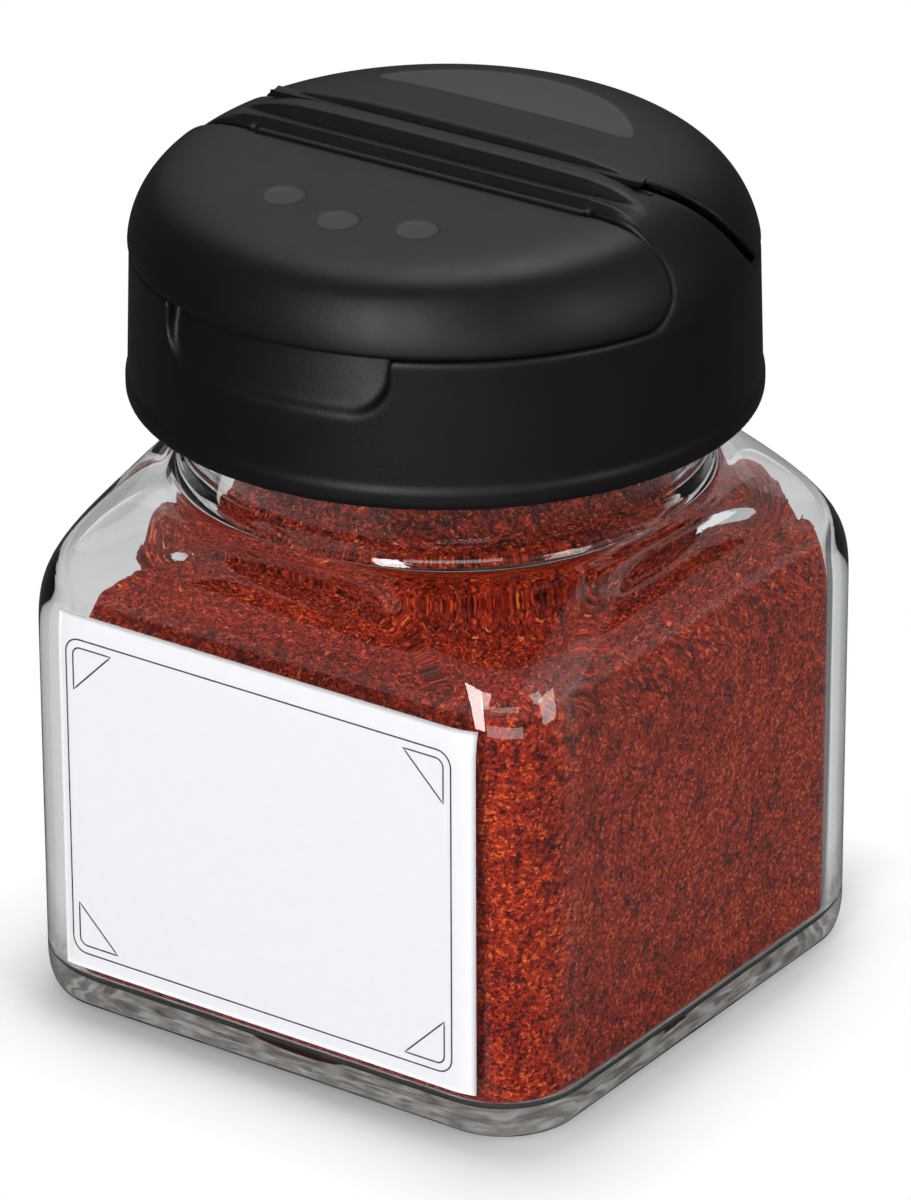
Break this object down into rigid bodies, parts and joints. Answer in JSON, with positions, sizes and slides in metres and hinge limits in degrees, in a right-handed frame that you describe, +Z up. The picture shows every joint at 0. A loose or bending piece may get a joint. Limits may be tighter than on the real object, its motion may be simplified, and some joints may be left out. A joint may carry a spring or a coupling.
{
  "type": "spice jar",
  "caption": "Square glass spice jar with a round neck, a blank front label, reddish ground spice, and a black screw cap with a shaker lid and a pouring lid.",
  "frame": {"origin": "centre of the jar's base, on the surface that it stands on", "axes": "+Z up along the neck's axis, -Y out of the labelled front face, X along the cap's bridge and lid hinges"},
  "size_m": [0.05, 0.0501, 0.0708],
  "materials": {
    "clear_glass": "gloss",
    "ground_spice": "matte",
    "label_paper": "matte",
    "liner_foam": "matte",
    "black_plastic": "satin",
    "hinge_plastic": "satin"
  },
  "bodies": {
    "jar": {"glass_jar": "clear_glass", "spice_fill": "ground_spice", "front_label": "label_paper"},
    "liner": {"seal_liner": "liner_foam"},
    "cap": {"cap_body": "black_plastic", "front_hinge_film": "hinge_plastic", "rear_hinge_film": "hinge_plastic"},
    "front_flap": {"front_lid": "black_plastic"},
    "rear_flap": {"rear_lid": "black_plastic"}
  },
  "joints": [
    {"name": "cap_lift", "type": "slide", "parent": "jar", "child": "liner", "axis": [0, 0, 1], "range_m": [0, 0.0127]},
    {"name": "cap_turn", "type": "hinge", "parent": "liner", "child": "cap", "pos_m": [0, 0, 0.0608], "axis": [0, 0, 1], "range_deg": [0, 1080]},
    {"name": "front_lid_hinge", "type": "hinge", "parent": "cap", "child": "front_flap", "pos_m": [0, -0.0034, 0.0691], "axis": [-1, 0, 0], "range_deg": [0, 95], "deforming": ["front_hinge_film"]},
    {"name": "rear_lid_hinge", "type": "hinge", "parent": "cap", "child": "rear_flap", "pos_m": [0, 0.0015, 0.0704], "axis": [1, 0, 0], "range_deg": [0, 95], "deforming": ["rear_hinge_film"]}
  ],
  "couplings": [
    {"joint": "cap_lift", "follows": "cap_turn", "m_per_rad": 0.00067323}
  ]
}
